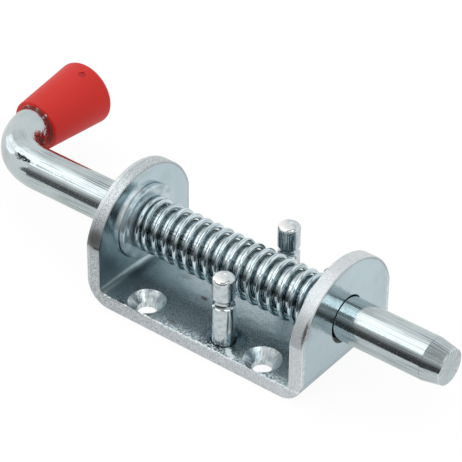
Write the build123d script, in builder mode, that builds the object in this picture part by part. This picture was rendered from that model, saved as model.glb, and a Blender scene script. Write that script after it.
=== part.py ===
from build123d import *
from math import asin, degrees, sqrt
import os

os.makedirs("parts", exist_ok=True)

# Spring loaded gate latch. X runs along the bolt towards its tip, Y across the plate towards the
# handle's side, and Z up from the mounting face. The origin is the middle of the mounting face.

# Bracket, folded from one steel strip
bracket_length = 94.0
strip_width = 50.8
strip_thickness = 5.5
inside_bend = 2.5
outside_bend = 9.5
axis_height = 23.0
ear_round_extra = 0.7
ear_centre_drop = 4.25
strip_edge_round = 0.5
bore_edge_round = 0.15
bore_clearance = 0.45

# Countersunk screw holes in the plate
screw_spacing_x = 51.0
screw_spacing_y = 37.0
screw_hole_diameter = 7.2
countersink_diameter = 13.6

# Bolt, bent from one round bar
bar_diameter = 16.0
bolt_reach = 42.2
nose_length = 7.3
nose_end_diameter = 13.3
nose_round = 0.5
handle_distance = 63.2
handle_bend = 19.5
bar_end_chamfer = 1.0

# Plastic cap on the handle
cap_length = 29.4
cap_mouth_diameter = 20.0
cap_end_diameter = 25.6
cap_end_wall = 4.0
cap_end_round = 1.6
cap_rim_round = 0.6
cap_lead_in = 0.4
cap_fit = 0.02
gate_mark_diameter = 2.6
gate_mark_depth = 0.3
gate_mark_from_end = 5.8
gate_mark_turn = 14.0

# Cross pin through the bolt
pin_diameter = 4.0
pin_plate_clearance = 1.0
pin_chamfer = 0.6
pin_fit = 0.02
pin_gap = 0.3

# Washers
seat_washer_rim = 5.8
seat_washer_thickness = 2.4
seat_washer_clearance = 0.5
thrust_washer_rim = 2.7
thrust_washer_thickness = 2.0
thrust_washer_clearance = 0.3
thrust_washer_gap = 0.1
washer_edge_round = 0.2
washer_rim_round = 0.5

# Compression spring
wire_diameter = 2.0
spring_bore_clearance = 0.3
spring_pitch = 4.57
end_coil_gap = 0.1
coil_start_angle = 28.0

# Upright studs that hold the bolt open
stud_x = 8.6
stud_diameter = 8.2
stud_above_axis = 10.4
stud_catch = 2.1
stud_groove_depth = 1.0
stud_groove_clearance = 0.1
stud_top_round = 1.6
stud_dimple_diameter = 3.2
stud_dimple_depth = 0.25
rivet_diameter = 5.0
rivet_head_diameter = 7.0
rivet_fit = 0.02

# Places that follow from the sizes above
bar_radius = bar_diameter / 2
pin_radius = pin_diameter / 2
wire_radius = wire_diameter / 2
ear_outside = bracket_length / 2
ear_inside = ear_outside - strip_thickness
ear_round_radius = strip_width / 2 + ear_round_extra
ear_centre_height = axis_height - ear_centre_drop
ear_top = ear_centre_height + ear_round_radius
bolt_end = ear_outside + bolt_reach
handle_x = -ear_outside - handle_distance
cap_start = handle_bend
cap_end = cap_start + cap_length
handle_end = cap_end - cap_end_wall
pin_x = ear_inside - pin_gap - pin_radius
pin_length = 2 * (axis_height - strip_thickness - pin_plate_clearance)
stud_y = pin_length / 2 - stud_catch + stud_diameter / 2
thrust_face = pin_x - pin_radius - thrust_washer_gap - thrust_washer_thickness
spring_seat = -ear_inside + seat_washer_thickness
coil_radius = bar_radius + spring_bore_clearance + wire_radius
coil_start = spring_seat + wire_radius
coil_end = thrust_face - wire_radius
end_pitch = wire_diameter + end_coil_gap


def washer(thickness, rim, clearance, face_x):
    """A flat washer round the bolt, with its left face at face_x and rim from its bore to its edge."""
    bore_radius = bar_radius + clearance
    with BuildPart() as ring:
        with BuildSketch(Plane.YZ.offset(face_x)):
            with Locations((0, axis_height)):
                Circle(bore_radius + rim)
                Circle(bore_radius, mode=Mode.SUBTRACT)
        extrude(amount=thickness)
        outer_and_bore = ring.edges().filter_by(GeomType.CIRCLE).group_by(SortBy.RADIUS)
        fillet(outer_and_bore[-1], radius=washer_rim_round)
        fillet(outer_and_bore[0], radius=washer_edge_round)
    return ring


def stud(y):
    """A turned stud with a groove for the cross pin, riveted through the plate at y."""
    radius = stud_diameter / 2
    top = axis_height + stud_above_axis
    groove_radius = pin_radius + stud_groove_clearance
    groove_centre = radius - stud_groove_depth + groove_radius
    groove_half_width = sqrt(groove_radius**2 - (groove_centre - radius) ** 2)
    neck = rivet_diameter / 2 - rivet_fit
    head = rivet_head_diameter / 2 - rivet_fit
    dimple_radius = stud_dimple_diameter / 2
    with BuildPart() as turned:
        with BuildSketch(Plane(origin=(stud_x, y, 0), x_dir=(1, 0, 0), z_dir=(0, -1, 0))):
            with BuildLine():
                Polyline(
                    (radius, axis_height - groove_half_width),
                    (radius, strip_thickness),
                    (neck, strip_thickness),
                    (neck, head - neck),
                    (head, 0),
                    (0, 0),
                    (0, top - stud_dimple_depth),
                )
                ThreePointArc(
                    (0, top - stud_dimple_depth),
                    (dimple_radius / 2, top - stud_dimple_depth * 3 / 4),
                    (dimple_radius, top),
                )
                Polyline((dimple_radius, top), (radius, top), (radius, axis_height + groove_half_width))
                ThreePointArc(
                    (radius, axis_height + groove_half_width),
                    (radius - stud_groove_depth, axis_height),
                    (radius, axis_height - groove_half_width),
                )
            make_face()
        revolve(axis=Axis((stud_x, y, 0), (0, 0, 1)))
        rim = turned.edges().filter_by(GeomType.CIRCLE).group_by(Axis.Z)[-1].sort_by(SortBy.RADIUS)[-1]
        fillet(rim, radius=stud_top_round)
    return turned


# The bracket: a U of strip, round-topped ears, a bore for the bolt, screw holes and rivet holes
with BuildPart() as bracket:
    with BuildSketch(Plane.XZ):
        with BuildLine():
            FilletPolyline(
                (-ear_outside, ear_top),
                (-ear_outside, 0),
                (ear_outside, 0),
                (ear_outside, ear_top),
                radius=outside_bend,
            )
            FilletPolyline(
                (-ear_inside, ear_top),
                (-ear_inside, strip_thickness),
                (ear_inside, strip_thickness),
                (ear_inside, ear_top),
                radius=inside_bend,
            )
            Line((-ear_outside, ear_top), (-ear_inside, ear_top))
            Line((ear_outside, ear_top), (ear_inside, ear_top))
        make_face()
    extrude(amount=strip_width / 2, both=True)
    with BuildSketch(Plane.YZ.offset(-ear_outside)):
        with Locations((0, ear_centre_height / 2)):
            Rectangle(strip_width, ear_centre_height)
        with Locations((0, ear_centre_height)):
            Circle(ear_round_radius)
        Rectangle(strip_width, 2 * ear_top, mode=Mode.INTERSECT)
    extrude(amount=bracket_length, mode=Mode.INTERSECT)
    ear_arcs = bracket.edges().filter_by(GeomType.CIRCLE).filter_by(
        lambda edge: abs(edge.radius - ear_round_radius) < strip_edge_round
    )
    strip_sides = bracket.faces().filter_by(Axis.Y).edges()
    fillet(ear_arcs + strip_sides, radius=strip_edge_round)
    with BuildSketch(Plane.YZ.offset(-ear_outside)):
        with Locations((0, axis_height)):
            Circle(bar_radius + bore_clearance)
    extrude(amount=bracket_length, mode=Mode.SUBTRACT)
    bore_rims = bracket.edges().filter_by(GeomType.CIRCLE).filter_by(
        lambda edge: abs(edge.radius - bar_radius - bore_clearance) < bore_edge_round
    )
    fillet(bore_rims, radius=bore_edge_round)
    with Locations((0, 0, strip_thickness)):
        with GridLocations(screw_spacing_x, screw_spacing_y, 2, 2):
            CounterSinkHole(screw_hole_diameter / 2, countersink_diameter / 2, counter_sink_angle=90)
    with Locations(Plane.XY.rotated((180, 0, 0))):
        with Locations((stud_x, -stud_y), (stud_x, stud_y)):
            CounterSinkHole(rivet_diameter / 2, rivet_head_diameter / 2, counter_sink_angle=90)
bracket.part.label = "bracket"
export_step(bracket.part, "parts/bracket.step")

# The bolt: a straight bar with a tapered nose, bent square into the handle
with BuildPart() as bolt:
    with BuildLine():
        FilletPolyline(
            (bolt_end, 0, axis_height),
            (handle_x, 0, axis_height),
            (handle_x, handle_end, axis_height),
            radius=handle_bend,
        )
    with BuildSketch(Plane(origin=(bolt_end, 0, axis_height), z_dir=(-1, 0, 0))):
        Circle(bar_radius)
    sweep()
    nose_edge = bolt.edges().filter_by(GeomType.CIRCLE).sort_by(Axis.X)[-1]
    nose_face = bolt.faces().sort_by(Axis.X)[-1]
    chamfer(nose_edge, length=bar_radius - nose_end_diameter / 2, length2=nose_length, reference=nose_face)
    fillet(bolt.faces().sort_by(Axis.X)[-1].edges(), radius=nose_round)
    chamfer(bolt.faces().sort_by(Axis.Y)[-1].edges(), length=bar_end_chamfer)
    with Locations((pin_x, 0, axis_height)):
        Cylinder(pin_radius + pin_fit, bar_diameter + pin_diameter, mode=Mode.SUBTRACT)
bolt.part.label = "bolt"
export_step(bolt.part, "parts/bolt.step")

# The cap: a tapered moulding pushed over the handle, wider at its closed end
with BuildPart() as grip_cap:
    cap_bore = bar_radius + cap_fit
    with BuildSketch(Plane.XY.offset(axis_height)):
        with BuildLine():
            Polyline(
                (handle_x + cap_bore + cap_lead_in, cap_start),
                (handle_x + cap_mouth_diameter / 2, cap_start),
                (handle_x + cap_end_diameter / 2, cap_end),
                (handle_x, cap_end),
                (handle_x, handle_end),
                (handle_x + cap_bore, handle_end),
                (handle_x + cap_bore, cap_start + cap_lead_in),
                close=True,
            )
        make_face()
    revolve(axis=Axis((handle_x, 0, axis_height), (0, 1, 0)))
    outer_rims = grip_cap.edges().filter_by(GeomType.CIRCLE)
    fillet(outer_rims.group_by(Axis.Y)[-1], radius=cap_end_round)
    mouth_rim = grip_cap.edges().filter_by(GeomType.CIRCLE).group_by(Axis.Y)[0].sort_by(SortBy.RADIUS)[-1]
    fillet(mouth_rim, radius=cap_rim_round)
    flare = (cap_end_diameter - cap_mouth_diameter) / 2 / cap_length
    flare_angle = degrees(asin(flare / sqrt(1 + flare**2)))
    mark_y = cap_end - gate_mark_from_end
    mark_radius = cap_end_diameter / 2 - flare * gate_mark_from_end
    turn_about_cap = Location((handle_x, mark_y, axis_height), (0, gate_mark_turn, 0))
    with Locations(turn_about_cap * Location((0, 0, mark_radius), (flare_angle, 0, 0))):
        Cylinder(gate_mark_diameter / 2, gate_mark_depth * 2, mode=Mode.SUBTRACT)
grip_cap.part.label = "grip_cap"
export_step(grip_cap.part, "parts/grip_cap.step")

# The cross pin, pressed upright through the bolt behind the right ear
with BuildPart() as cross_pin:
    with Locations((pin_x, 0, axis_height)):
        Cylinder(pin_radius, pin_length)
    chamfer(cross_pin.edges().filter_by(GeomType.CIRCLE), length=pin_chamfer)
cross_pin.part.label = "cross_pin"
export_step(cross_pin.part, "parts/cross_pin.step")

# The washer against the left ear, and the one that the cross pin carries
seat_washer = washer(seat_washer_thickness, seat_washer_rim, seat_washer_clearance, -ear_inside)
seat_washer.part.label = "seat_washer"
export_step(seat_washer.part, "parts/seat_washer.step")

thrust_washer = washer(
    thrust_washer_thickness, thrust_washer_rim, thrust_washer_clearance, thrust_face
)
thrust_washer.part.label = "thrust_washer"
export_step(thrust_washer.part, "parts/thrust_washer.step")

# The spring: a right-handed coil with one closed turn at each end
with BuildPart() as spring:
    active_length = coil_end - coil_start - 2 * end_pitch
    active_angle = 360 * active_length / spring_pitch
    with BuildLine() as coil_line:
        for start_x, pitch, length, angle in (
            (coil_start, end_pitch, end_pitch, coil_start_angle),
            (coil_start + end_pitch, spring_pitch, active_length, coil_start_angle),
            (coil_end - end_pitch, end_pitch, end_pitch, coil_start_angle + active_angle),
        ):
            towards_start = Vector(0, 1, 0).rotate(Axis.X, angle)
            coil_plane = Plane(origin=(start_x, 0, axis_height), x_dir=towards_start, z_dir=(1, 0, 0))
            add(coil_plane * Helix(pitch, length, coil_radius, mode=Mode.PRIVATE))
    with BuildSketch(Plane(origin=coil_line.line @ 0, z_dir=coil_line.line % 0)):
        Circle(wire_radius)
    sweep(is_frenet=True)
spring.part.label = "spring"
export_step(spring.part, "parts/spring.step")

# The two studs
stud_front = stud(-stud_y)
stud_front.part.label = "stud_front"
export_step(stud_front.part, "parts/stud_front.step")

stud_back = stud(stud_y)
stud_back.part.label = "stud_back"
export_step(stud_back.part, "parts/stud_back.step")
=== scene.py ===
import bpy
from math import cos, pi, radians, sin
from mathutils import Matrix, Vector


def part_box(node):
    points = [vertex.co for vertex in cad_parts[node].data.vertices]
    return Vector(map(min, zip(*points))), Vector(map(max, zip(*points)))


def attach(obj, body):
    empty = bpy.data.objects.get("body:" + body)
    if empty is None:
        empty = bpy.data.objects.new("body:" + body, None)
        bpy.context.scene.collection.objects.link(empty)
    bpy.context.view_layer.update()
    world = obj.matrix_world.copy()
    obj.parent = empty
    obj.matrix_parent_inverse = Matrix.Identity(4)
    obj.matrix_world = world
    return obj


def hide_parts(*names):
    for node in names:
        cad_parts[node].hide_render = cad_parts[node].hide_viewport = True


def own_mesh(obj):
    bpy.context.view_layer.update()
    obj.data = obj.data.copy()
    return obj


# Spring loaded gate latch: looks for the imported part. Lengths in the dictionaries are in millimetres.

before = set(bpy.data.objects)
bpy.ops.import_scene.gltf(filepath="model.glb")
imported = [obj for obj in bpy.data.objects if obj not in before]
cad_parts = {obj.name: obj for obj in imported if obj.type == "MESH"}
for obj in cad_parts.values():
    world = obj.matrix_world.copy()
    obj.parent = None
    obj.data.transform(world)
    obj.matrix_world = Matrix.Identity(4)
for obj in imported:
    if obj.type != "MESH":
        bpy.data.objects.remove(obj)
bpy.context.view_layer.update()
mm = 0.001
print("frame loaded:", len(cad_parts), "nodes")


# small helpers


def toLinear(hexColour):
    # an sRGB hex value as the linear colour that shaders work in
    channels = [int(hexColour[i:i + 2], 16) / 255 for i in (1, 3, 5)]
    return [c / 12.92 if c <= 0.04045 else ((c + 0.055) / 1.055) ** 2.4 for c in channels] + [1.0]


def addNode(tree, kind, inputs=None, output=0, **settings):
    # adds one node with its settings, sets or links its inputs, and gives back one of its outputs
    node = tree.nodes.new("ShaderNode" + kind)
    for name, value in settings.items():
        setattr(node, name, value)
    for key, value in (inputs or {}).items():
        if isinstance(value, bpy.types.NodeSocket):
            tree.links.new(value, node.inputs[key])
        else:
            node.inputs[key].default_value = value
    return node.outputs[output] if node.outputs else None


def newMaterial(name):
    material = bpy.data.materials.new(name)
    material.use_nodes = True
    material.node_tree.nodes.clear()
    return material, material.node_tree


def dress(pieceNames, material):
    # the CAD mesh stays as it is and only gets another material
    for name in pieceNames:
        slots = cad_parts[name].data.materials
        slots.clear()
        slots.append(material)


def zincSkin(tree, colour, roughness, normal, metallic=1.0):
    # zinc is a metal: all that the eye gets is the tint and the sharpness of its reflections
    shader = addNode(tree, "BsdfPrincipled",
                     {"Base Color": colour, "Metallic": metallic, "Roughness": roughness, "Normal": normal})
    addNode(tree, "OutputMaterial", {"Surface": shader})


def drawnLines(tree, first, second, size, detail, layer=0.0):
    # the lines that rolling, drawing and bending leave in metal: noise drawn out over two directions,
    # with the size of a line in each; another layer gives other lines
    place = addNode(tree, "CombineXYZ", {
        "X": addNode(tree, "Math", {0: first, 1: 1 / (size[0] * mm)}, operation="MULTIPLY"),
        "Y": addNode(tree, "Math", {0: second, 1: 1 / (size[1] * mm)}, operation="MULTIPLY"),
        "Z": layer})
    return addNode(tree, "TexNoise", {"Vector": place, "Scale": 1.0, "Detail": detail})


def distanceFrom(tree, place, middle, scale):
    # how far a point lies from another one; a scale of 0 leaves an axis out
    away = addNode(tree, "VectorMath", {0: place, 1: middle}, operation="SUBTRACT")
    scaled = addNode(tree, "VectorMath", {0: away, 1: scale}, operation="MULTIPLY")
    return addNode(tree, "VectorMath", {0: scaled}, output="Value", operation="LENGTH")


def layColours(tree, colour, look, layers):
    # lays colours over each other, each one where all of its shares overlap, and gives those overlaps too
    overlaps = []
    for tint, overlap, *shares in layers:
        for share in shares:
            overlap = addNode(tree, "Math", {0: overlap, 1: share}, operation="MULTIPLY")
        overlaps.append(overlap)
        colour = addNode(tree, "Mix", {0: overlap, 6: colour, 7: toLinear(look[tint])},
                         output=2, data_type="RGBA")
    return colour, overlaps


# sizes read from the frame

bracketLow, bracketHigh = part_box("bracket")
boltLow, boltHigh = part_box("bolt")
springLow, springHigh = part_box("spring")
capLow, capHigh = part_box("grip_cap")
studLow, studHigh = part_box("stud_front")
washerLow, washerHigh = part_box("seat_washer")

halfStrip = bracketHigh.y                      # half the width of the strip
axisHeight = (springLow.z + springHigh.z) / 2  # height of the bolt's axis
barRadius = (boltHigh.z - boltLow.z) / 2
handleX = (capLow.x + capHigh.x) / 2
bendRadius = capLow.y                          # the cap starts where the bend ends
studX = (studLow.x + studHigh.x) / 2
studY = abs(studLow.y + studHigh.y) / 2        # the studs stand this far to either side
studRadius = (studHigh.x - studLow.x) / 2
washerRadius = (washerHigh.z - washerLow.z) / 2


# camera, placed as the photograph was taken

cameraView = {
    "azimuth": 37.60,  # degrees, from straight in front towards the nose of the bolt
    "elevation": 37.25,
    "roll": 0.53,
    "aim": (-11.72, 11.64, 25.0),
    "distance": 897.7,
    "lens": 198.9,
    "sensor": 36.0,
}


def makeCamera(view):
    azimuth, elevation, roll = (radians(view[key]) for key in ("azimuth", "elevation", "roll"))
    back = Vector((sin(azimuth) * cos(elevation), -cos(azimuth) * cos(elevation), sin(elevation)))
    level = Vector((cos(azimuth), sin(azimuth), 0))
    upright = back.cross(level)
    right = cos(roll) * level + sin(roll) * upright
    up = -sin(roll) * level + cos(roll) * upright
    data = bpy.data.cameras.new("photoCamera")
    data.lens = view["lens"]
    data.sensor_width = view["sensor"]
    data.clip_start = 0.01
    camera = bpy.data.objects.new("photoCamera", data)
    turned = Matrix((right, up, back)).transposed().to_4x4()
    place = Vector(view["aim"]) * mm + back * view["distance"] * mm
    camera.matrix_world = Matrix.Translation(place) @ turned
    bpy.context.scene.collection.objects.link(camera)
    bpy.context.scene.camera = camera


makeCamera(cameraView)
print("camera set")


# bracket: mild steel strip, rolled, blanked and bent, then bright zinc plated

bracketLook = {
    "face": "#B9CBD1",               # rolled faces: zinc with a blue cast
    "dull": "#8C999F",               # duller clouds in the plating
    "cut": "#D4D9DB",                # sheared edges, which scatter light
    "cutDull": "#858F93",
    "drilled": "#E4EDEF",            # the cones of the countersinks
    "drilledDull": "#B4BEC2",
    "arris": "#857C74",              # a thin worn line along the edges of the ears
    "paintedSheen": "#FAFCFC",             # painted highlight along the top edges of the plate, and painted reflection beside the seat washer
    "pale": "#FAFCFC",               # a wavy band inside the edge of the right ear
    "pebble": "#DCE8EC",             # the plate's front edge was scuffed in the barrel
    "paintedStudReflection": "#F0FBFF",              # painted reflection of the front stud in the plate, by its foot
    "paintedGapShade": "#0A0C0E",             # painted shade of the gap under the bolt at the right ear
    "stain": "#43352D",              # where the plating is thin
    "paintedShade": "#1D2326",                # painted shade: the dark lines round the feet of the studs and the washer

    "thickness": 5.5,
    "earRoundExtra": 0.7,            # the ears' round is this much larger than half the strip
    "edgeBand": 0.5,                 # the look of the cut edges reaches this far onto the faces
    "burnish": 1.7,                  # this much of the left ear's edge was sheared smooth, the rest tore
    "burnishLine": 0.65,             # how dark the line between the two is
    "screwAt": (25.5, 18.5),         # and mirrored to the other three
    "countersink": 6.9,              # radius of its rim
    "arrisAt": 0.75,                 # from the edge
    "sheenFade": (10.0, -2.0),      # along X, the painted highlight on the plate's edge lies left of this
    "paleBandAt": (3.6, 2.4),        # its inner edge, from the ear's edge, once the wave is added
    "paleBandWave": 3.2,
    "paleBandFade": (8.0, -2.0),     # above the bolt's axis
    "pebbleReach": (5.0, 1.0),       # from the front edge
    "pebbleFade": (-22.0, -12.0),    # along X, they start right of the left screw hole
    "reflectionAt": (14.6, -22.9, 5.5),
    "reflectionTowards": (0.83, -0.56),
    "reflectionSize": (3.8, 1.3),
    "sheenWidth": 4.2,                 # painted reflection: the left ear is painted brighter this far round the seat washer
    "sheenTowards": (-0.6, 0.8),       # and on this side, in Y and Z
    "gapShadeAt": (0.0, 0.1, -1.15),   # from the bolt's axis
    "gapShadeRadius": 8.5,
    "gapShadeShare": 0.7,              # of the ear's thickness, from outside
    "mirrorRound": (5.0, 2.0),       # the plate stayed a mirror this close round the studs
    "bendReach": 13.0,               # how far from the ears the marks of the bending die show

    "cloudSize": 9.0,
    "mottleSize": 1.5,
    "speckSize": 0.32,
    "pebbleSize": 0.9,
    "rippleWidth": 2.0,              # in the outer face of the right ear
    "grainSize": (14.0, 0.6),        # real rolling lines are about 0.1 mm wide, drawn as coarse as shows
    "dieLineSize": (0.55, 30.0),     # along the bends
    "chatter": 6.0,                  # how close the drill's marks lie round a countersink
    "chatterChange": 0.08,           # and how much they change over a millimetre
    "grainDepth": 0.015,
    "cloudDepth": 0.5,
    "rippleDepth": 0.06,
    "mottleDepth": 0.05,
    "dieLineDepth": 0.05,
    "speckDepth": 0.08,
    "chatterDepth": 0.3,

    "plateWear": 0.45,               # the plate is at least this dull
    "faceRoughness": (0.13, 0.25),
    "plateRoughness": (0.18, 0.55),  # the plate was scuffed in handling, more than the ears
    "bendRoughness": 0.36,
    "cutRoughness": 0.42,
    "drilledRoughness": 0.30,
    "cutMetallic": (0.95, 0.6),      # of the left ear's edge and of the right one's, which is chalky
    "sheenAndScuffMetallic": 0.2,           # the painted highlight and reflections, and the pebbled scuffs, are chalky too
}
bracketMarks = [                 # thin, knocked or dark places: middle, reach, strength, colour
    ((46.3, -22.9, 30.3), (0.8, 4.2, 5.4), 0.85, "stain"),
    ((-43.6, -24.4, 27.2), (4.4, 2.2, 4.6), 0.62, "stain"),
    ((-42.4, -25.3, 24.6), (2.6, 1.2, 0.7), 0.85, "stain"),
    ((-10.6, -4.8, 5.5), (1.9, 1.1, 1.0), 0.75, "stain"),
    ((-11.5, -22.0, 5.5), (2.6, 1.5, 1.0), 0.45, "stain"),
    ((22.6, -23.2, 5.5), (1.8, 1.2, 1.0), 0.6, "stain"),
    ((-32.1, -24.4, 5.5), (1.8, 0.9, 1.0), 0.6, "stain"),
    ((-23.3, 0.6, 5.5), (3.0, 1.2, 1.0), 0.3, "stain"),
    # the next two are dark patches on the left ear's inner face, in the painted-shade colour
    ((-41.5, -16.4, 35.8), (1.0, 2.6, 4.0), 0.35, "paintedShade"),
    ((-41.5, -9.6, 41.0), (1.0, 3.0, 1.3), 0.35, "paintedShade"),
]


def insideOutline(tree, sideY, z, look):
    # how far a point lies inside the outline of the strip and its round-topped ears, alike on both sides
    earRadius = halfStrip + look["earRoundExtra"] * mm
    aboveCentre = addNode(tree, "Math", {0: z, 1: bracketHigh.z - earRadius}, operation="SUBTRACT")
    above = addNode(tree, "Math", {0: aboveCentre, 1: 0.0}, operation="MAXIMUM")
    outward = addNode(tree, "CombineXYZ", {"Y": sideY, "Z": above})
    reach = addNode(tree, "VectorMath", {0: outward}, output="Value", operation="LENGTH")
    underRound = addNode(tree, "Math", {0: earRadius, 1: reach}, operation="SUBTRACT")
    fromSide = addNode(tree, "Math", {0: halfStrip, 1: sideY}, operation="SUBTRACT")
    return addNode(tree, "Math", {0: underRound, 1: fromSide}, operation="MINIMUM")


def blankedStripZinc(look, marks):
    # blanked and bent zinc-plated strip: a soft mirror with rolling grain on the faces, frosted cut edges
    material, tree = newMaterial("blankedStripZinc")
    place = addNode(tree, "TexCoord", output="Object")
    x, y, z = (addNode(tree, "SeparateXYZ", {0: place}, output=axis) for axis in "XYZ")
    sideX = addNode(tree, "Math", {0: x}, operation="ABSOLUTE")
    sideY = addNode(tree, "Math", {0: y}, operation="ABSOLUTE")
    top = look["thickness"] * mm
    onPlate = addNode(tree, "Math", {0: z, 1: top + 0.5 * mm}, operation="LESS_THAN")
    onEars = addNode(tree, "Math", {0: 1.0, 1: onPlate}, operation="SUBTRACT")
    atTop = addNode(tree, "MapRange", {"Value": z, "From Min": top - 0.8 * mm, "From Max": top - 0.4 * mm})
    outerFace = addNode(tree, "Math", {0: x, 1: bracketHigh.x - 0.2 * mm}, operation="GREATER_THAN")
    onLeftEar = addNode(tree, "Math", {0: x, 1: washerLow.x, 2: 0.3 * mm}, operation="COMPARE")
    clouds, mottle, specks, pebbles = (
        addNode(tree, "TexNoise", {"Vector": place, "Scale": 1 / (look[size] * mm), "Detail": detail})
        for size, detail in (("cloudSize", 4.0), ("mottleSize", 4.0),
                             ("speckSize", 3.0), ("pebbleSize", 3.0)))
    speckled = addNode(tree, "MapRange", {"Value": specks, "From Min": 0.42, "From Max": 0.62})

    band = look["edgeBand"] * mm
    inset = insideOutline(tree, sideY, z, look)
    cutEdge = addNode(tree, "MapRange", {"Value": inset, "From Min": band, "From Max": band / 3})
    # the countersinks are drilled, so they scatter light as the cut edges do
    fromHole = addNode(tree, "CombineXYZ", {
        "X": addNode(tree, "Math", {0: sideX, 1: look["screwAt"][0] * mm}, operation="SUBTRACT"),
        "Y": addNode(tree, "Math", {0: sideY, 1: look["screwAt"][1] * mm}, operation="SUBTRACT")})
    holeDistance = addNode(tree, "VectorMath", {0: fromHole}, output="Value", operation="LENGTH")
    rim = look["countersink"] * mm
    countersink = addNode(tree, "MapRange", {"Value": holeDistance, "From Min": rim, "From Max": rim * 0.98})
    drilled = addNode(tree, "Math", {0: countersink, 1: onPlate}, operation="MULTIPLY")
    cut = addNode(tree, "Math", {0: cutEdge, 1: drilled}, operation="MAXIMUM")

    # rolling grain runs along the strip, up the ears as well; the die leaves lines along the bends
    run = addNode(tree, "Math", {0: x, 1: z}, operation="ADD")
    grain = drawnLines(tree, run, y, look["grainSize"], 2.0)
    dieNoise = drawnLines(tree, run, y, look["dieLineSize"], 3.0)
    dieReach = look["bendReach"] * mm
    nearBend = addNode(tree, "MapRange", {"Value": sideX, "From Min": bracketHigh.x - dieReach,
                                          "From Max": bracketHigh.x - dieReach * 0.6})
    lowDown = addNode(tree, "MapRange", {"Value": z, "From Min": dieReach, "From Max": top * 1.4})
    atBend = addNode(tree, "Math", {0: nearBend, 1: lowDown}, operation="MULTIPLY")
    dieLines = addNode(tree, "Math", {0: dieNoise, 1: atBend}, operation="MULTIPLY")

    # clouds, scuffs and the lines of the die dull the faces
    cloudy = addNode(tree, "MapRange", {"Value": clouds, "From Min": 0.45, "From Max": 0.72, "To Max": 0.2})
    scuffed = addNode(tree, "MapRange", {"Value": mottle, "From Min": 0.35, "From Max": 0.62})
    scuffedSpecks = addNode(tree, "Math", {0: scuffed, 1: speckled}, operation="MULTIPLY")
    scuffedPlate = addNode(tree, "Math", {0: scuffedSpecks, 1: onPlate}, operation="MULTIPLY")
    plateWear = addNode(tree, "Math", {0: onPlate, 1: look["plateWear"]}, operation="MULTIPLY")
    darkLines = addNode(tree, "MapRange", {"Value": dieLines, "From Min": 0.48, "From Max": 0.62,
                                           "To Max": 0.7})
    worn = cloudy
    for share in (scuffedPlate, plateWear, darkLines):
        worn = addNode(tree, "Math", {0: worn, 1: share}, operation="MAXIMUM")

    # the left ear's edge is torn and sparkles, but for a smooth rim; the right ear's is evenly matt
    rightwards = addNode(tree, "MapRange", {"Value": x, "From Min": bracketLow.x, "From Max": bracketHigh.x,
                                            "To Min": 1.0, "To Max": 0.5})
    burnishAt = bracketLow.x + look["burnish"] * mm
    torn = addNode(tree, "MapRange", {"Value": x, "From Min": burnishAt, "From Max": burnishAt + 0.2 * mm,
                                      "To Min": 0.5})
    fromBurnish = addNode(tree, "Math", {0: x, 1: burnishAt, 2: 0.14 * mm}, operation="COMPARE")
    burnishLine = addNode(tree, "Math", {0: fromBurnish, 1: look["burnishLine"]}, operation="MULTIPLY")
    evenSpecks = addNode(tree, "Math", {0: speckled, 1: rightwards}, operation="MULTIPLY")
    tornSpecks = addNode(tree, "Math", {0: evenSpecks, 1: torn}, operation="MULTIPLY")
    edgeSpecks = addNode(tree, "Math", {0: tornSpecks, 1: burnishLine}, operation="MAXIMUM")
    # the drill chattered, which left short marks down the cones
    fromCentre = addNode(tree, "VectorMath", {0: fromHole}, operation="NORMALIZE")
    uneven = addNode(tree, "VectorMath", {0: place, "Scale": look["chatterChange"] / mm}, operation="SCALE")
    chatterPlace = addNode(tree, "VectorMath", {0: fromCentre, 1: uneven}, operation="ADD")
    chatter = addNode(tree, "TexNoise", {"Vector": chatterPlace, "Scale": look["chatter"], "Detail": 4.0})
    chattered = addNode(tree, "MapRange", {"Value": chatter, "From Min": 0.42, "From Max": 0.62})

    faceColour, cutColour, coneColour = (
        addNode(tree, "Mix", {0: share, 6: toLinear(look[bright]), 7: toLinear(look[dull])},
                output=2, data_type="RGBA")
        for share, bright, dull in ((worn, "face", "dull"), (edgeSpecks, "cut", "cutDull"),
                                    (chattered, "drilled", "drilledDull")))
    colour = addNode(tree, "Mix", {0: cut, 6: faceColour, 7: cutColour}, output=2, data_type="RGBA")
    colour = addNode(tree, "Mix", {0: drilled, 6: colour, 7: coneColour}, output=2, data_type="RGBA")

    # a thin worn line where the faces meet the cut edges, brownish on the ears; on the plate a painted
    # highlight along the top edges
    line = look["arrisAt"] * mm
    risingIn = addNode(tree, "MapRange", {"Value": inset, "From Min": line * 0.4, "From Max": line * 0.8})
    fallingOut = addNode(tree, "MapRange", {"Value": inset, "From Min": line * 1.5, "From Max": line})
    overEdge = addNode(tree, "MapRange", {"Value": inset, "From Min": line * 0.1, "From Max": line * 0.3})
    nearEdge = addNode(tree, "MapRange", {"Value": inset, "From Min": line * 1.3, "From Max": line * 0.9})
    patchy = addNode(tree, "MapRange", {"Value": mottle, "From Min": 0.47, "From Max": 0.56, "To Max": 0.9})
    sheenFrom, sheenTo = (v * mm for v in look["sheenFade"])
    leftPart = addNode(tree, "MapRange", {"Value": x, "From Min": sheenFrom, "From Max": sheenTo,
                                          "To Min": 0.1})

    # a pale, wavy band inside the edge of the right ear
    waveIn = addNode(tree, "Math", {0: mottle, 1: look["paleBandWave"] * mm, 2: inset},
                     operation="MULTIPLY_ADD")
    bandFrom, bandTo = (v * mm for v in look["paleBandAt"])
    paleBand = addNode(tree, "MapRange", {"Value": waveIn, "From Min": bandFrom, "From Max": bandTo,
                                          "To Max": 0.5})
    fadeFrom, fadeTo = (axisHeight + v * mm for v in look["paleBandFade"])
    lowerHalf = addNode(tree, "MapRange", {"Value": z, "From Min": fadeFrom, "From Max": fadeTo})

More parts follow.
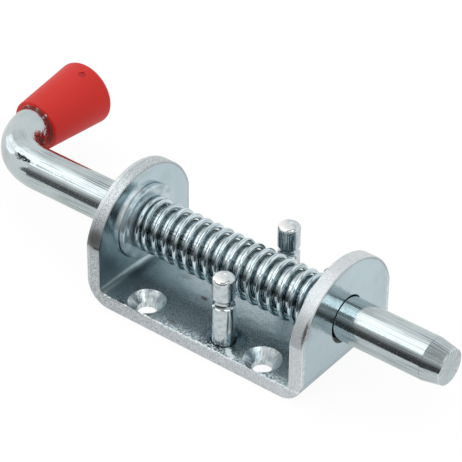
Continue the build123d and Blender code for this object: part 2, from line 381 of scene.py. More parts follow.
    # pebbled scuffs along the front edge of the plate, from the left screw hole on
    pebbled = addNode(tree, "MapRange", {"Value": pebbles, "From Min": 0.44, "From Max": 0.58})
    innerEnd, outerEnd = (v * mm - halfStrip for v in look["pebbleReach"])
    frontPart = addNode(tree, "MapRange", {"Value": y, "From Min": innerEnd, "From Max": outerEnd})
    pebblesFrom, pebblesTo = (v * mm for v in look["pebbleFade"])
    besideScrew = addNode(tree, "MapRange", {"Value": x, "From Min": pebblesFrom, "From Max": pebblesTo})

    # painted reflection of the front stud in the plate, beside its foot
    fromReflection = addNode(tree, "VectorMath", {0: place, 1: [v * mm for v in look["reflectionAt"]]},
                        operation="SUBTRACT")
    reflectionX, reflectionY = look["reflectionTowards"]
    reflectionLength, reflectionWidth = (size * mm for size in look["reflectionSize"])
    alongReflection, acrossReflection = (
        addNode(tree, "VectorMath", {0: fromReflection, 1: direction}, output="Value", operation="DOT_PRODUCT")
        for direction in ((reflectionX / reflectionLength, reflectionY / reflectionLength, 0),
                          (-reflectionY / reflectionWidth, reflectionX / reflectionWidth, 0)))
    reflectionOffset = addNode(tree, "CombineXYZ", {"X": alongReflection, "Y": acrossReflection})
    reflectionDistance = addNode(tree, "VectorMath", {0: reflectionOffset}, output="Value", operation="LENGTH")
    raggedReflection = addNode(tree, "Math", {0: mottle, 1: 1.5, 2: reflectionDistance}, operation="MULTIPLY_ADD")
    paintedStudReflection = addNode(tree, "MapRange", {"Value": raggedReflection, "From Min": 1.75, "From Max": 1.35})

    # painted reflection: the left ear is painted brighter round the seat washer on one side; painted shade: a
    # dark line round the washer
    upward = addNode(tree, "Math", {0: z, 1: axisHeight}, operation="SUBTRACT")
    fromAxis = addNode(tree, "CombineXYZ", {"Y": y, "Z": upward})
    axisDistance = addNode(tree, "VectorMath", {0: fromAxis}, output="Value", operation="LENGTH")
    nearWasher = addNode(tree, "MapRange", {"Value": axisDistance,
                                            "From Min": washerRadius + look["sheenWidth"] * mm,
                                            "From Max": washerRadius + 0.4 * mm})
    brokenSheen = addNode(tree, "MapRange", {"Value": clouds, "From Min": 0.3, "From Max": 0.5, "To Min": 0.6})
    outward = addNode(tree, "VectorMath", {0: fromAxis}, operation="NORMALIZE")
    towards = addNode(tree, "VectorMath", {0: outward, 1: (0, *look["sheenTowards"])}, output="Value",
                      operation="DOT_PRODUCT")
    onSide = addNode(tree, "MapRange", {"Value": towards, "From Min": 0.72, "From Max": 0.96})
    washerShadeLine = addNode(tree, "MapRange", {"Value": axisDistance, "From Min": washerRadius + 0.45 * mm,
                                            "From Max": washerRadius + 0.25 * mm, "To Max": 0.7})
    belowAxis = addNode(tree, "MapRange", {"Value": upward, "From Min": 1 * mm, "From Max": -4 * mm,
                                           "To Min": 0.2})

    # painted shade: a dark crescent under the bolt where it leaves the right ear, in place of the gap's
    # shadow
    gapShadeDistance = distanceFrom(tree, fromAxis, [v * mm for v in look["gapShadeAt"]], (1, 1, 1))
    gapShadeEdge = look["gapShadeRadius"] * mm
    paintedGapShade = addNode(tree, "MapRange", {"Value": gapShadeDistance, "From Min": gapShadeEdge + 0.15 * mm,
                                        "From Max": gapShadeEdge, "To Max": 0.95})
    outerPart = addNode(tree, "Math", {0: x, 1: bracketHigh.x - top * look["gapShadeShare"]},
                        operation="GREATER_THAN")

    # painted shade: the foot of each stud stands in a dark hairline
    fromStud = addNode(tree, "CombineXYZ", {
        "X": addNode(tree, "Math", {0: x, 1: studX}, operation="SUBTRACT"),
        "Y": addNode(tree, "Math", {0: sideY, 1: studY}, operation="SUBTRACT")})
    studDistance = addNode(tree, "VectorMath", {0: fromStud}, output="Value", operation="LENGTH")
    hairline = addNode(tree, "MapRange", {"Value": studDistance, "From Min": studRadius + 0.4 * mm,
                                          "From Max": studRadius + 0.25 * mm})

    # the marks, in the order that they lie over each other
    layers = [("arris", risingIn, fallingOut, mottle, onEars),
              ("paintedSheen", overEdge, nearEdge, atTop, onPlate, patchy, leftPart),
              ("pale", paleBand, outerFace, lowerHalf),
              ("pebble", pebbled, frontPart, besideScrew, atTop, onPlate),
              ("paintedStudReflection", paintedStudReflection, onPlate),
              ("paintedSheen", nearWasher, brokenSheen, onSide, onLeftEar, onEars),
              ("paintedShade", washerShadeLine, onLeftEar, belowAxis),
              ("paintedGapShade", paintedGapShade, outerPart)]
    for middle, reach, strength, tint in marks:
        distance = distanceFrom(tree, place, [v * mm for v in middle], [1 / (v * mm) for v in reach])
        ragged = addNode(tree, "Math", {0: specks, 1: 2.5, 2: distance}, operation="MULTIPLY_ADD")
        mark = addNode(tree, "MapRange", {"Value": ragged, "From Min": 2.25, "From Max": 1.75,
                                          "To Max": strength})
        layers.append((tint, mark))
    layers.append(("paintedShade", hairline, onPlate))
    colour, overlaps = layColours(tree, colour, look, layers)

    earRoughness, plateRoughness = (
        addNode(tree, "MapRange", {"Value": pattern, "From Min": low, "From Max": high,
                                   "To Min": look[key][0], "To Max": look[key][1]})
        for pattern, low, high, key in ((clouds, 0.35, 0.75, "faceRoughness"),
                                        (specks, 0.42, 0.62, "plateRoughness")))
    mirrorFrom, mirrorTo = (studRadius + v * mm for v in look["mirrorRound"])
    nearStud = addNode(tree, "MapRange", {"Value": studDistance, "From Min": mirrorFrom,
                                          "From Max": mirrorTo})
    edgeRoughness = addNode(tree, "Mix", {0: drilled, 2: look["cutRoughness"], 3: look["drilledRoughness"]})
    roughness = earRoughness
    for share, other in ((onPlate, plateRoughness), (nearStud, look["faceRoughness"][0]),
                         (atBend, look["bendRoughness"]), (cut, edgeRoughness)):
        roughness = addNode(tree, "Mix", {0: share, 2: roughness, 3: other})

    # relief: a wave of this pattern is 0.314 long at a scale of 1
    ripples = addNode(tree, "TexWave", {"Vector": place, "Scale": 0.314 / (look["rippleWidth"] * mm),
                                        "Distortion": 9.0, "Detail": 2.0, "Detail Scale": 0.4}, output="Fac")
    rippleHeight = addNode(tree, "Math", {0: ripples, 1: outerFace}, operation="MULTIPLY")
    mottleHeight = addNode(tree, "Math", {0: mottle, 1: onPlate}, operation="MULTIPLY")
    coarse = addNode(tree, "Math", {0: cut, 1: onPlate}, operation="MAXIMUM")
    awayFromStud = addNode(tree, "Math", {0: 1.0, 1: nearStud}, operation="SUBTRACT")
    speckHeight = specks
    for share in (coarse, rightwards, awayFromStud):
        speckHeight = addNode(tree, "Math", {0: speckHeight, 1: share}, operation="MULTIPLY")
    chatterHeight = addNode(tree, "Math", {0: chatter, 1: drilled}, operation="MULTIPLY")
    normal = addNode(tree, "Bump", {"Height": grain, "Strength": 0.3, "Distance": look["grainDepth"] * mm})
    for height, strength, depth in ((clouds, 0.6, "cloudDepth"), (rippleHeight, 0.4, "rippleDepth"),
                                    (mottleHeight, 0.5, "mottleDepth"), (dieLines, 0.6, "dieLineDepth"),
                                    (speckHeight, 0.5, "speckDepth"), (chatterHeight, 0.6, "chatterDepth")):
        normal = addNode(tree, "Bump", {"Height": height, "Normal": normal, "Strength": strength,
                                        "Distance": look[depth] * mm})

    leftMetallic, rightMetallic = look["cutMetallic"]
    edgeMetallic = addNode(tree, "MapRange", {"Value": x, "From Min": bracketLow.x,
                                              "From Max": bracketHigh.x,
                                              "To Min": leftMetallic, "To Max": rightMetallic})
    metallic = addNode(tree, "Mix", {0: cutEdge, 2: 1.0, 3: edgeMetallic})
    chalky = 0.0  # where the pebbled scuffs, the painted highlight and the painted reflections lie
    for layer, overlap in zip(layers, overlaps):
        if layer[0] in ("paintedSheen", "pebble", "paintedStudReflection"):
            chalky = addNode(tree, "Math", {0: chalky, 1: overlap}, operation="MAXIMUM")
    metallic = addNode(tree, "Mix", {0: chalky, 2: metallic, 3: look["sheenAndScuffMetallic"]})
    zincSkin(tree, colour, roughness, normal, metallic)
    return material


dress(["bracket"], blankedStripZinc(bracketLook, bracketMarks))
print("bracket dressed")


# bolt: cold drawn steel bar, bent and turned at the nose, then bright zinc plated

boltLook = {
    "bright": "#BDC7C9",
    "dull": "#99A2A4",
    "hairline": "#6B7376",      # single scratches drawn along the bar
    "shoulder": "#7A8285",      # the nose starts at a dull line
    "endRim": "#EEF3F5",        # its end is rubbed bright
    "lineSize": (0.42, 60.0),   # round and along the bar; the real lines are finer, drawn as coarse as shows
    "hairlineSize": (0.30, 24.0),
    "wrinkleSize": (1.3, 7.0),  # bending wrinkled the skin of the bar a little
    "wrinkleDepth": 0.30,
    "bendFade": (3.0, -4.0),    # the wrinkles come in over this stretch before the bend
    "cloudSize": 12.0,
    "fleckSize": 0.4,           # flecks in the plating
    "noseLength": 7.3,
    "noseEdgeWidth": 0.18,
    "noseEdgeStrength": 0.35,
    "roughness": 0.07,
    "dullRoughness": 0.14,
    "fleckRoughness": 0.34,
}


def drawnBarZinc(look):
    # zinc-plated drawn bar: nearly a mirror, drawn out along the bar by the lines of the die
    material, tree = newMaterial("drawnBarZinc")
    place = addNode(tree, "TexCoord", output="Object")
    x, y, z = (addNode(tree, "SeparateXYZ", {0: place}, output=axis) for axis in "XYZ")

    # how far a point lies round and along the bar, on the straight run, the bend and the handle alike
    pastBendX = addNode(tree, "Math", {0: x, 1: handleX + bendRadius}, operation="SUBTRACT")
    pastBendY = addNode(tree, "Math", {0: y, 1: bendRadius}, operation="SUBTRACT")
    inBend = addNode(tree, "CombineXYZ", {
        "X": addNode(tree, "Math", {0: pastBendX, 1: 0.0}, operation="MINIMUM"),
        "Y": addNode(tree, "Math", {0: pastBendY, 1: 0.0}, operation="MINIMUM")})
    fromBend = addNode(tree, "VectorMath", {0: inBend}, output="Value", operation="LENGTH")
    across = addNode(tree, "Math", {0: bendRadius, 1: fromBend}, operation="SUBTRACT")
    upward = addNode(tree, "Math", {0: z, 1: axisHeight}, operation="SUBTRACT")
    angle = addNode(tree, "Math", {0: upward, 1: across}, operation="ARCTAN2")
    around = addNode(tree, "Math", {0: angle, 1: barRadius}, operation="MULTIPLY")
    along = addNode(tree, "Math", {0: x, 1: y}, operation="SUBTRACT")
    bendSide = addNode(tree, "Math", {0: pastBendX, 1: pastBendY}, operation="MAXIMUM")
    fadeFrom, fadeTo = (v * mm for v in look["bendFade"])
    bent = addNode(tree, "MapRange", {"Value": bendSide, "From Min": fadeFrom, "From Max": fadeTo})
    straight = addNode(tree, "Math", {0: 1.0, 1: bent}, operation="SUBTRACT")

    lines = drawnLines(tree, around, along, look["lineSize"], 3.0)
    hairs = drawnLines(tree, around, along, look["hairlineSize"], 1.0, layer=7.0)
    wrinkles = drawnLines(tree, around, along, look["wrinkleSize"], 3.0)
    clouds, flecks = (
        addNode(tree, "TexNoise", {"Vector": place, "Scale": 1 / (look[size] * mm), "Detail": detail})
        for size, detail in (("cloudSize", 4.0), ("fleckSize", 2.0)))
    streaky = addNode(tree, "Math", {0: lines, 1: clouds}, operation="MULTIPLY")
    cloudy = addNode(tree, "MapRange", {"Value": streaky, "From Min": 0.24, "From Max": 0.46})
    hairlines = addNode(tree, "MapRange", {"Value": hairs, "From Min": 0.57, "From Max": 0.66, "To Max": 0.8})
    # the turned nose has a dull line at its shoulder and a bright one round its flat end
    shoulder, endRim = (
        addNode(tree, "Math", {0: x, 1: boltHigh.x - edgeAt * mm, 2: width * mm}, operation="COMPARE")
        for edgeAt, width in ((look["noseLength"], look["noseEdgeWidth"]),
                              (0.4, look["noseEdgeWidth"] * 1.5)))
    colour, _ = layColours(tree, toLinear(look["bright"]), look,
                           [("dull", cloudy), ("hairline", hairlines, straight),
                            ("shoulder", shoulder, look["noseEdgeStrength"]),
                            ("endRim", endRim, look["noseEdgeStrength"])])

    streakRoughness = addNode(tree, "MapRange", {"Value": streaky, "From Min": 0.18, "From Max": 0.45,
                                                 "To Min": look["roughness"],
                                                 "To Max": look["dullRoughness"]})
    flecked = addNode(tree, "MapRange", {"Value": flecks, "From Min": 0.54, "From Max": 0.70})
    roughness = addNode(tree, "Mix", {0: flecked, 2: streakRoughness, 3: look["fleckRoughness"]})
    wrinkled = addNode(tree, "Math", {0: wrinkles, 1: bent}, operation="MULTIPLY")
    lineBump = addNode(tree, "Bump", {"Height": lines, "Strength": 0.35, "Distance": 0.012 * mm})
    normal = addNode(tree, "Bump", {"Height": wrinkled, "Normal": lineBump, "Strength": 0.6,
                                    "Distance": look["wrinkleDepth"] * mm})
    zincSkin(tree, colour, roughness, normal)
    return material


dress(["bolt"], drawnBarZinc(boltLook))
print("bolt dressed")


# cap: soft plastic, moulded and pushed over the handle

capLook = {
    "plastic": "#C61A0B",
    "shade": "#BD1509",
    "deep": "#A3081C",         # in the mark of the mould's gate
    "paintedMouthLight": "#DB8B80",        # painted light: paler inside the mouth, where it lies in shade
    "paintedGlint": "#EBCDC4",         # painted glints on the rim of the mouth
    "markAt": (-107.2, 43.1),  # in X and Y
    "markRadius": 1.7,
    "mouthRadius": 8.2,
    "mouthDepth": 0.6,
    "glintAt": ((-113.6, 30.4), (-109.0, 31.1), (-104.8, 30.0)),  # in X and Z
    "glintSize": 0.45,
    "skinSize": 0.8,
    "flowSize": 14.0,
    "roughness": 0.46,
    "dullRoughness": 0.54,
    "rimRoughness": 0.34,      # the mouth's rim is rubbed smooth
    "gloss": 0.30,
}


def mouldedPolyethylene(look):
    # moulded polyethylene: an even red with a soft sheen, and a skin a little less than smooth
    material, tree = newMaterial("mouldedPolyethylene")
    place = addNode(tree, "TexCoord", output="Object")
    fromMouth = addNode(tree, "SeparateXYZ", {0: place}, output="Y")
    flow, skin = (addNode(tree, "TexNoise", {"Vector": place, "Scale": 1 / (look[size] * mm), "Detail": 2.0})
                  for size in ("flowSize", "skinSize"))

    # deeper red in the gate's mark; painted light inside the mouth, paler than its shade
    markX, markY = (v * mm for v in look["markAt"])
    markEdge = look["markRadius"] * mm
    markDistance = distanceFrom(tree, place, (markX, markY, 0), (1, 1, 0))
    mark = addNode(tree, "MapRange", {"Value": markDistance, "From Min": markEdge, "From Max": markEdge * 0.6,
                                      "To Max": 0.8})
    depth = look["mouthDepth"] * mm
    atMouth = addNode(tree, "MapRange", {"Value": fromMouth, "From Min": capLow.y + depth,
                                         "From Max": capLow.y + depth / 3})
    mouthEdge = look["mouthRadius"] * mm
    radius = distanceFrom(tree, place, (handleX, 0, axisHeight), (1, 0, 1))
    within = addNode(tree, "MapRange", {"Value": radius, "From Min": mouthEdge + 0.3 * mm,
                                        "From Max": mouthEdge})
    layers = [("shade", flow), ("deep", mark), ("paintedMouthLight", atMouth, within)]

    # a few painted glints on the rim
    atRim = addNode(tree, "MapRange", {"Value": fromMouth, "From Min": capLow.y + 1.2 * mm,
                                       "From Max": capLow.y + 0.8 * mm})
    glintEdge = look["glintSize"] * mm
    for glintX, glintZ in look["glintAt"]:
        glintDistance = distanceFrom(tree, place, (glintX * mm, 0, glintZ * mm), (1, 0, 1))
        paintedGlint = addNode(tree, "MapRange", {"Value": glintDistance, "From Min": glintEdge * 1.3,
                                          "From Max": glintEdge})
        layers.append(("paintedGlint", paintedGlint, atRim))
    colour, _ = layColours(tree, toLinear(look["plastic"]), look, layers)

    skinRoughness = addNode(tree, "MapRange", {"Value": skin, "From Min": 0.3, "From Max": 0.7,
                                               "To Min": look["roughness"],
                                               "To Max": look["dullRoughness"]})
    roughness = addNode(tree, "Mix", {0: atMouth, 2: skinRoughness, 3: look["rimRoughness"]})
    normal = addNode(tree, "Bump", {"Height": skin, "Strength": 0.25, "Distance": 0.02 * mm})
    shader = addNode(tree, "BsdfPrincipled", {"Base Color": colour, "Roughness": roughness, "IOR": 1.51,
                                              "Specular IOR Level": look["gloss"], "Normal": normal})
    addNode(tree, "OutputMaterial", {"Surface": shader})
    return material


dress(["grip_cap"], mouldedPolyethylene(capLook))
print("cap dressed")


# washers and studs

turnedLook = {
    "bright": "#C9D1D4",
    "dull": "#AAB4B8",
    "top": "#F7F6F2",                   # painted highlight on the tops
    "soot": "#3F372F",                  # specks left at the foot by riveting
    "ringPitch": 0.5,                   # turning marks are finer than this, drawn as coarse as shows
    "pitSize": 2.0,                     # small dents in the tops
    "pitDepth": 0.5,
    "sootSize": 0.6,
    "sootHeight": 3.2,
    "highlightTowards": (-0.45, -0.9, 0),  # the painted highlight is whitest on this side
    "roughness": 0.12,
    "dullRoughness": 0.18,
}


def turnedStudZinc(look):
    # zinc-plated turned steel: bright, with fine rings round the axis and small dents on the end faces
    material, tree = newMaterial("turnedStudZinc")
    place = addNode(tree, "TexCoord", output="Object")
    y, height = (addNode(tree, "SeparateXYZ", {0: place}, output=axis) for axis in "YZ")
    ringPlace = addNode(tree, "CombineXYZ", {
        "Z": addNode(tree, "Math", {0: height, 1: 1 / (look["ringPitch"] * mm)}, operation="MULTIPLY")})
    rings = addNode(tree, "TexNoise", {"Vector": ringPlace, "Scale": 1.0, "Detail": 2.0})
    pits, soot = (addNode(tree, "TexNoise", {"Vector": place, "Scale": 1 / (look[size] * mm), "Detail": 3.0})
                  for size in ("pitSize", "sootSize"))
    onTop = addNode(tree, "MapRange", {"Value": height, "From Min": studHigh.z - 1.8 * mm,
                                       "From Max": studHigh.z - 0.8 * mm})
    worn = addNode(tree, "MapRange", {"Value": pits, "From Min": 0.42, "From Max": 0.7})

    # both studs share the material, so each point is measured from the stud on its own side
    ownSide = addNode(tree, "Math", {0: y}, operation="SIGN")
    ownY = addNode(tree, "Math", {0: ownSide, 1: studY}, operation="MULTIPLY")
    studMiddle = addNode(tree, "CombineXYZ", {"X": studX, "Y": ownY})
    fromMiddle = addNode(tree, "VectorMath", {0: place, 1: studMiddle}, operation="SUBTRACT")
    # painted highlight: the tops are painted whiter towards one side
    towardsHighlight = addNode(tree, "VectorMath", {0: fromMiddle, 1: look["highlightTowards"]}, output="Value",
                          operation="DOT_PRODUCT")
    paintedTopHighlight = addNode(tree, "MapRange", {"Value": towardsHighlight, "From Min": -1.5 * mm, "From Max": 2.4 * mm,
                                          "To Max": 0.8})
    foot = bracketLook["thickness"] * mm
    reach = look["sootHeight"] * mm
    low = addNode(tree, "MapRange", {"Value": height, "From Min": foot + reach, "From Max": foot + reach / 3})
    sooty = addNode(tree, "MapRange", {"Value": soot, "From Min": 0.50, "From Max": 0.60, "To Max": 0.9})
    colour, _ = layColours(tree, toLinear(look["bright"]), look,
                           [("dull", worn), ("top", paintedTopHighlight, onTop), ("soot", low, sooty)])

    roughness = addNode(tree, "MapRange", {"Value": pits, "From Min": 0.35, "From Max": 0.7,
                                           "To Min": look["roughness"], "To Max": look["dullRoughness"]})
    dents = addNode(tree, "Math", {0: pits, 1: onTop}, operation="MULTIPLY")
    ringBump = addNode(tree, "Bump", {"Height": rings, "Strength": 0.2, "Distance": 0.008 * mm})
    normal = addNode(tree, "Bump", {"Height": dents, "Normal": ringBump, "Strength": 0.8,
                                    "Distance": look["pitDepth"] * mm})
    zincSkin(tree, colour, roughness, normal)
    return material


washerLook = {
    "bright": "#CBD9DF",
    "dull": "#A0B0B8",
    "scratchWidth": 0.5,
    "cloudSize": 5.0,
    "roughness": 0.12,
    "dullRoughness": 0.22,
    "metallic": 0.75,  # a little chalky from tumbling
}


def stampedWasherZinc(look):
    # zinc-plated stamped washer: duller than the bar, tumbled until its scratches run round
    material, tree = newMaterial("stampedWasherZinc")
    place = addNode(tree, "TexCoord", output="Object")
    radius = distanceFrom(tree, place, (0, 0, axisHeight), (0, 1, 1))
    ringPlace = addNode(tree, "CombineXYZ", {
        "X": addNode(tree, "Math", {0: radius, 1: 1 / (look["scratchWidth"] * mm)}, operation="MULTIPLY")})
    scratches = addNode(tree, "TexNoise", {"Vector": ringPlace, "Scale": 1.0, "Detail": 2.0})
    clouds = addNode(tree, "TexNoise", {"Vector": place, "Scale": 1 / (look["cloudSize"] * mm),
                                        "Detail": 4.0})
    cloudy = addNode(tree, "MapRange", {"Value": clouds, "From Min": 0.4, "From Max": 0.65})
    colour, _ = layColours(tree, toLinear(look["bright"]), look, [("dull", cloudy)])
    roughness = addNode(tree, "MapRange", {"Value": clouds, "From Min": 0.35, "From Max": 0.7,
                                           "To Min": look["roughness"], "To Max": look["dullRoughness"]})
    normal = addNode(tree, "Bump", {"Height": scratches, "Strength": 0.35, "Distance": 0.03 * mm})
    zincSkin(tree, colour, roughness, normal, look["metallic"])
    return material


pinLook = {
    "steel": "#B9BCBE",
    "oiled": "#8E9294",
    "patchSize": 3.0,
    "roughness": 0.24,
    "oiledRoughness": 0.39,
}


def groundPinSteel(look):
    # plain ground steel pin: darker and warmer than the zinc round it
    material, tree = newMaterial("groundPinSteel")
    place = addNode(tree, "TexCoord", output="Object")
    patches = addNode(tree, "TexNoise", {"Vector": place, "Scale": 1 / (look["patchSize"] * mm),
                                         "Detail": 4.0})
    colour, _ = layColours(tree, toLinear(look["steel"]), look, [("oiled", patches)])
    roughness = addNode(tree, "MapRange", {"Value": patches, "To Min": look["roughness"],
                                           "To Max": look["oiledRoughness"]})
    normal = addNode(tree, "Bump", {"Height": patches, "Strength": 0.2, "Distance": 0.02 * mm})
    zincSkin(tree, colour, roughness, normal)
    return material


dress(["stud_front", "stud_back"], turnedStudZinc(turnedLook))
dress(["seat_washer", "thrust_washer"], stampedWasherZinc(washerLook))
dress(["cross_pin"], groundPinSteel(pinLook))
print("studs, washers and pin dressed")


# spring: drawn wire, coiled with closed ends

springCoil = {
    "wire": 2.0,
    "closedPitch": 2.1,   # of the one closed turn at each end
    "openPitch": 4.57,
    "startAngle": 28.0,   # degrees from +Y towards +Z
    "easing": 0.12,       # in turns, over which the pitch changes
    "stepsPerTurn": 60,
    "sides": 20,
    "solidLength": 36.2,  # what is left of the spring's length at the end of the bolt's travel
}
wireLook = {
    "bright": "#DBE7EB",
    "dull": "#7C929B",
    "roughness": 0.05,
    "dullRoughness": 0.15,
    "drawLineWidth": 0.30,  # drawing lines are finer than this, drawn as coarse as shows
    "drawLineLength": 7.0,
}


def springWireZinc(look):
    # zinc-plated spring wire: bright and dark streaks along every coil, broken up by the drawing lines
    material, tree = newMaterial("springWireZinc")
    place = addNode(tree, "Attribute", output="Vector", attribute_name="wirePlace")
    width, length = look["drawLineWidth"] * mm, look["drawLineLength"] * mm
    stretched = addNode(tree, "VectorMath", {0: place, 1: (1 / length, 1 / width, 1 / width)},
                        operation="MULTIPLY")
    lines = addNode(tree, "TexNoise", {"Vector": stretched, "Scale": 1.0, "Detail": 3.0})
    streaky = addNode(tree, "MapRange", {"Value": lines, "From Min": 0.42, "From Max": 0.68})
    colour, _ = layColours(tree, toLinear(look["bright"]), look, [("dull", streaky)])
    roughness = addNode(tree, "MapRange", {"Value": lines, "From Min": 0.35, "From Max": 0.7,
                                           "To Min": look["roughness"], "To Max": look["dullRoughness"]})
    normal = addNode(tree, "Bump", {"Height": lines, "Strength": 0.35, "Distance": 0.03 * mm})
    zincSkin(tree, colour, roughness, normal)
    return material


def coilSpring(coil):
    wireRadius = coil["wire"] * mm / 2
    coilRadius = (springHigh.z - springLow.z) / 2 - wireRadius
    firstX = springLow.x + wireRadius
    lastX = springHigh.x - wireRadius
    closed = coil["closedPitch"] * mm
    openTurns = (lastX - firstX - 2 * closed) / (coil["openPitch"] * mm)
    turns = openTurns + 2
    steps = round(turns * coil["stepsPerTurn"])

    # the pitch eases from the closed turns into the open ones; the sum is then fitted to the space
    def easeAt(turn):
        inside = min(turn, turns - turn)
        t = min(max((inside - 1) / coil["easing"] + 0.5, 0), 1)
        return t * t * (3 - 2 * t)

    shares = [easeAt((i + 0.5) / steps * turns) for i in range(steps)]
    perTurn = turns / steps
    extraPitch = (lastX - firstX - closed * turns) / (sum(shares) * perTurn)
    centres = [firstX]
    for share in shares:
        centres.append(centres[-1] + (closed + extraPitch * share) * perTurn)

    points, faces, wirePlaces = [], [], []
    sides = coil["sides"]
    stepLength = 2 * pi * coilRadius * turns / steps
    for i, centreX in enumerate(centres):
        angle = radians(coil["startAngle"]) + 2 * pi * turns * i / steps
        outward = Vector((0, cos(angle), sin(angle)))
        middle = Vector((centreX, 0, axisHeight)) + outward * coilRadius
        for k in range(sides):
            turnBy = 2 * pi * k / sides
            aside, lengthwise = wireRadius * cos(turnBy), wireRadius * sin(turnBy)
            points.append(middle + outward * aside + Vector((lengthwise, 0, 0)))
            wirePlaces += [i * stepLength, aside, lengthwise]
    for i in range(steps):
        for k in range(sides):
            after = (k + 1) % sides
            faces.append((i * sides + k, i * sides + after, (i + 1) * sides + after, (i + 1) * sides + k))
    faces.append(tuple(range(sides)))
    faces.append(tuple(reversed(range(steps * sides, (steps + 1) * sides))))

    mesh = bpy.data.meshes.new("coil_spring")
    mesh.from_pydata(points, [], faces)
    mesh.polygons.foreach_set("use_smooth", [True] * (len(faces) - 2) + [False, False])
    mesh.update()
    # along and round the wire, for the drawing lines in its finish
    mesh.attributes.new("wirePlace", "FLOAT_VECTOR", "POINT").data.foreach_set("vector", wirePlaces)
    spring = bpy.data.objects.new("coil_spring", mesh)
    bpy.context.scene.collection.objects.link(spring)
    return spring


spring = coilSpring(springCoil)
spring.data.materials.append(springWireZinc(wireLook))
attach(spring, "frame")
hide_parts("spring")
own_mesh(spring)
print("spring made:", len(spring.data.polygons), "faces")


# studio: a white floor, a softbox overhead, and what the metal mirrors round it

studio = {
    "floorSize": 3000.0,
    "softboxAt": (-500.0, -265.0, 805.0),
    "softboxSize": (900.0, 1330.0),
    "softboxPower": 1.62,
    "fill": 1.05,                 # world light on the object
    "shadowShare": 0.08,          # how much of the floor's white takes the object's shadow
    "mirroredShadowShare": 0.35,  # the same, in the metal's reflection of the floor
    "mirroredWhite": 0.91,        # how white the metal sees the floor
}
# panels that only reflections see: corners, the axis and span that they shade along, and their glow
panels = {
    "softboxFace": {"corners": [(-1500, -930, 800), (-50, -930, 800), (-50, 420, 800), (-1500, 420, 800)],
                    "along": "Y", "span": (-70, 330), "glow": (1.9, 0.95)},
    "darkFrontLeft": {"corners": [(-139, -82, 1), (-60, -82, 0), (-60, -82, 90), (-158, -82, 100),
                                  (-145, -82, 55), (-171, -82, 16), (-148, -82, 14)],
                      "along": "Z", "span": (38, 85), "glow": (0.13, 1.1)},
    "darkFront": {"corners": [(-60, -82, 0), (600, -82, 0), (600, -82, 90), (-60, -82, 90)],
                  "along": "Z", "span": (36, 90), "glow": (0.08, 0.85)},
    "greyCeiling": {"corners": [(-50, -1200, 800), (1500, -1200, 800), (1500, 500, 800), (-50, 500, 800)],
                    "along": "X", "span": (-50, 150), "glow": (0.72, 0.38)},
    "softboxRight": {"corners": [(340, -470, 790), (680, -470, 790), (680, 240, 790), (340, 240, 790)],
                     "along": "Y", "span": (-470, 240), "glow": (3.0, 1.9)},
    "lampArm": {"corners": [(-150, -300, 380), (-402, -300, 372), (-402, -300, 388), (-150, -300, 386)],
                "along": "X", "span": (-402, -330), "glow": (0.2, 0.5)},
    "window": {"corners": [(-1500, -450, 120), (-1500, 250, 60), (-1500, 250, 700), (-1500, -450, 700)],
               "along": "Z", "span": (60, 700), "glow": (1.7, 1.9)},
    "lampStand": {"corners": [(-500, -237, 220), (-500, -103, 251), (-500, -141, 441), (-500, -326, 559),
                              (-500, -390, 528), (-500, -387, 397)],
                  "along": "Z", "span": (220, 559), "glow": (0.05, 0.05)},
}


def flatPanel(name, corners):
    mesh = bpy.data.meshes.new(name)
    mesh.from_pydata(corners, [], [tuple(range(len(corners)))])
    panel = bpy.data.objects.new(name, mesh)
    bpy.context.scene.collection.objects.link(panel)
    return panel


def whitePaper(look):
    # matt white paper: burns out to white as in the photograph, with a faint shadow left in it
    material, tree = newMaterial("whitePaper")
    paper = addNode(tree, "BsdfDiffuse", {"Color": toLinear("#F5F5F5")})
    surface = paper
    for ray, share, white in (("Is Glossy Ray", look["mirroredShadowShare"], look["mirroredWhite"]),
                              ("Is Transmission Ray", look["shadowShare"], 1.0),
                              ("Is Camera Ray", look["shadowShare"], 1.0)):
        shaded = addNode(tree, "BsdfDiffuse", {"Color": [share * white] * 3 + [1.0]})
        glow = addNode(tree, "Emission", {"Color": (1, 1, 1, 1), "Strength": (1 - share) * white})
        seen = addNode(tree, "AddShader", {0: shaded, 1: glow})
        surface = addNode(tree, "MixShader", {0: addNode(tree, "LightPath", output=ray), 1: surface, 2: seen})
    addNode(tree, "OutputMaterial", {"Surface": surface})
    return material


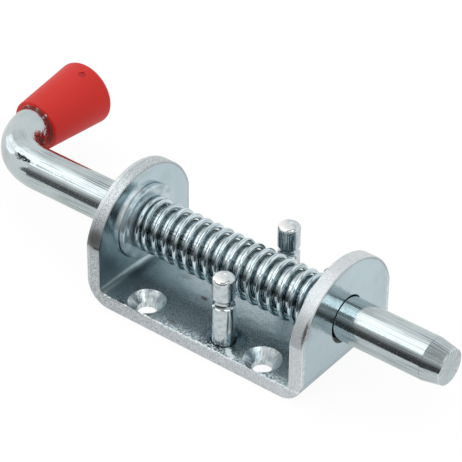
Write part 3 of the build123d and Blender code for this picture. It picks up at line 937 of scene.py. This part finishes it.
def gradedPanel(name, along, span, glow):
    # a lit or a dark cloth that shades evenly from one end to the other
    material, tree = newMaterial(name)
    place = addNode(tree, "TexCoord", output="Object")
    height = addNode(tree, "SeparateXYZ", {0: place}, output=along)
    strength = addNode(tree, "MapRange", {"Value": height, "From Min": span[0] * mm, "From Max": span[1] * mm,
                                          "To Min": glow[0], "To Max": glow[1]})
    shine = addNode(tree, "Emission", {"Color": (1, 1, 1, 1), "Strength": strength})
    addNode(tree, "OutputMaterial", {"Surface": shine})
    return material


half = studio["floorSize"] * mm / 2
floor = flatPanel("floor", [(-half, -half, 0), (half, -half, 0), (half, half, 0), (-half, half, 0)])
floor.data.materials.append(whitePaper(studio))

for name, panel in panels.items():
    cloth = flatPanel(name, [Vector(corner) * mm for corner in panel["corners"]])
    cloth.data.materials.append(gradedPanel(name, panel["along"], panel["span"], panel["glow"]))
    cloth.visible_camera = False
    cloth.visible_diffuse = False
    cloth.visible_shadow = False

softbox = bpy.data.lights.new("softbox", "AREA")
softbox.shape = "RECTANGLE"
softbox.size, softbox.size_y = (v * mm for v in studio["softboxSize"])
softbox.energy = studio["softboxPower"]
lamp = bpy.data.objects.new("softbox", softbox)
lamp.location = Vector(studio["softboxAt"]) * mm
lamp.visible_glossy = False      # the metal mirrors the softbox's face instead
bpy.context.scene.collection.objects.link(lamp)

world = bpy.data.worlds.new("studioWorld")
bpy.context.scene.world = world
world.use_nodes = True
world.node_tree.nodes.clear()
sky = addNode(world.node_tree, "Background", {"Color": (1, 1, 1, 1), "Strength": studio["fill"]})
for ray in ("Is Camera Ray", "Is Glossy Ray", "Is Transmission Ray"):
    whiteWall = addNode(world.node_tree, "Background", {"Color": (1, 1, 1, 1), "Strength": 1.0})
    sky = addNode(world.node_tree, "MixShader",
                  {0: addNode(world.node_tree, "LightPath", output=ray), 1: sky, 2: whiteWall})
addNode(world.node_tree, "OutputWorld", {"Surface": sky})

bpy.context.scene.view_settings.view_transform = "Standard"
print("studio set")
